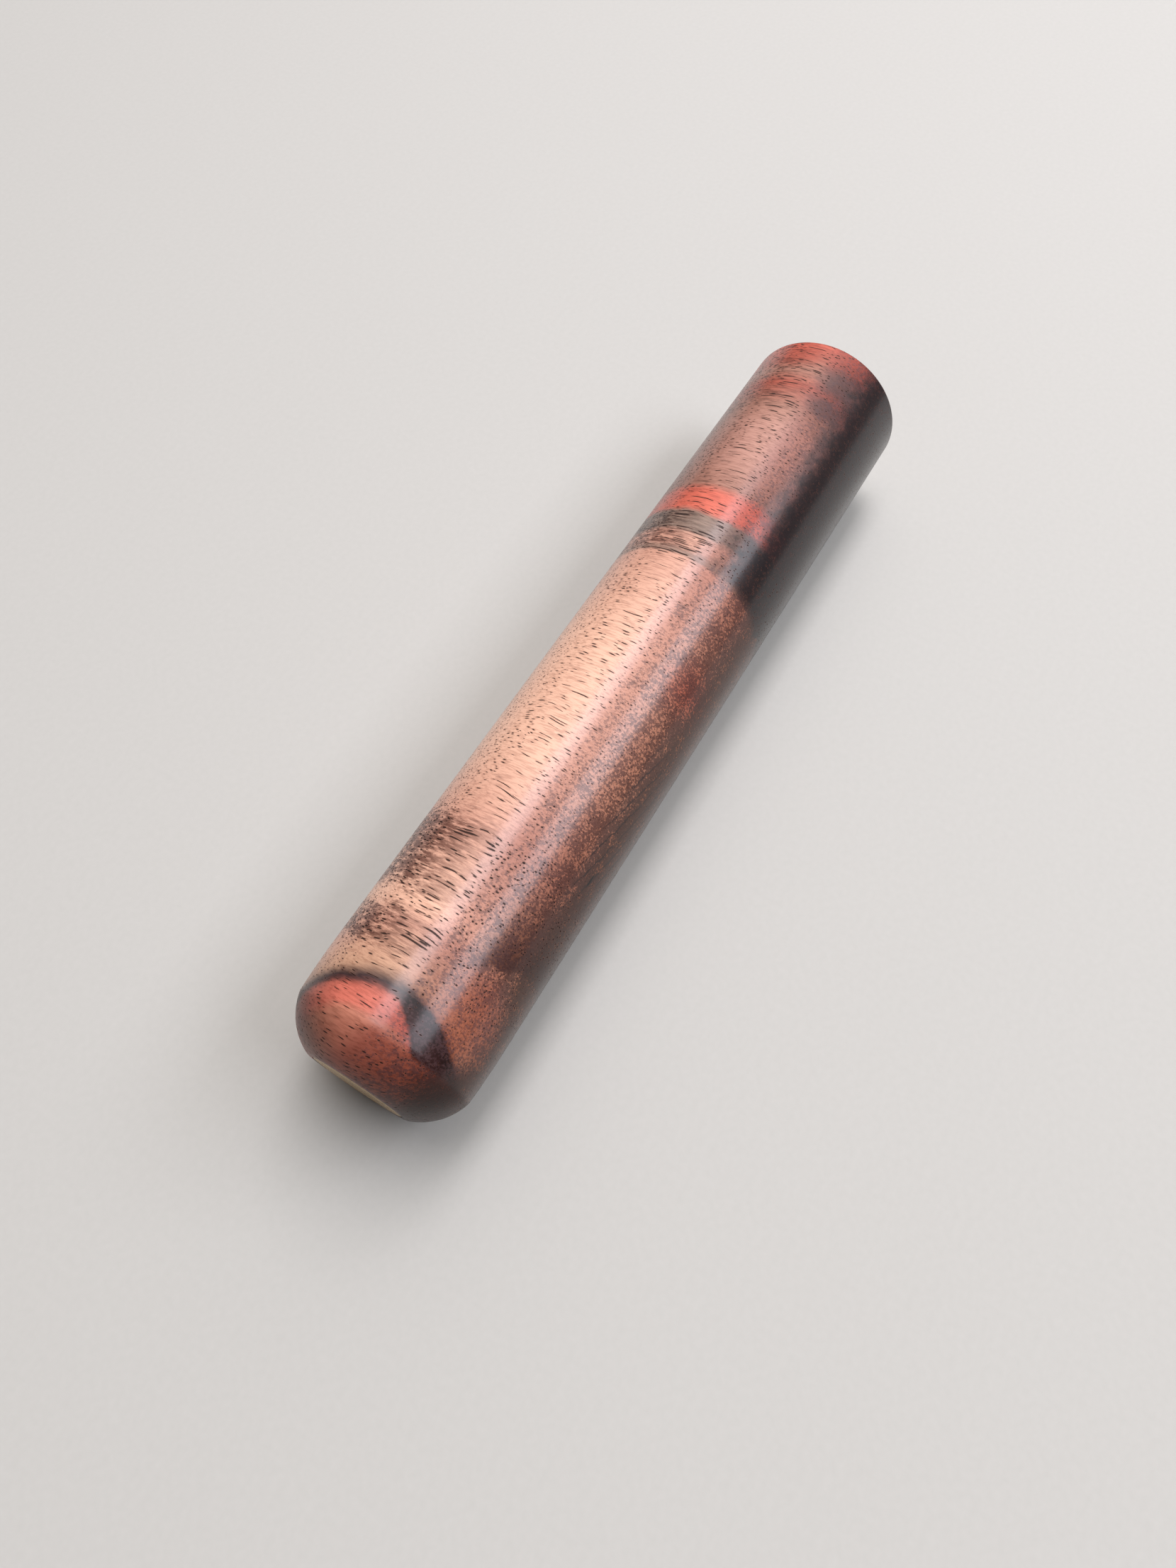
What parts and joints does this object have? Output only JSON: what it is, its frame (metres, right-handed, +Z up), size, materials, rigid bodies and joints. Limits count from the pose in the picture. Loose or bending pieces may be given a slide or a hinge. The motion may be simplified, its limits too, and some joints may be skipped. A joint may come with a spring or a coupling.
{
  "type": "clave",
  "caption": "Straight turned hardwood striking stick with a rounded end, a square-cut end and a flush brass button let into the rounded end's flat face.",
  "frame": {"origin": "below the middle of the stick, on the surface it lies on", "axes": "+X along the stick's axis from the rounded end towards the square end, +Z up, +Y across the stick"},
  "size_m": [0.152, 0.0296, 0.0295],
  "materials": {
    "hardwood": "figured reddish-brown hardwood, turned, fine-sanded and oiled or thinly lacquered to a satin sheen",
    "brass": "turned yellow brass, faced flush with the wood, lightly scratched and tarnished"
  },
  "bodies": {
    "root": {"stick": "hardwood", "brass_end_button": "brass"}
  },
  "joints": []
}
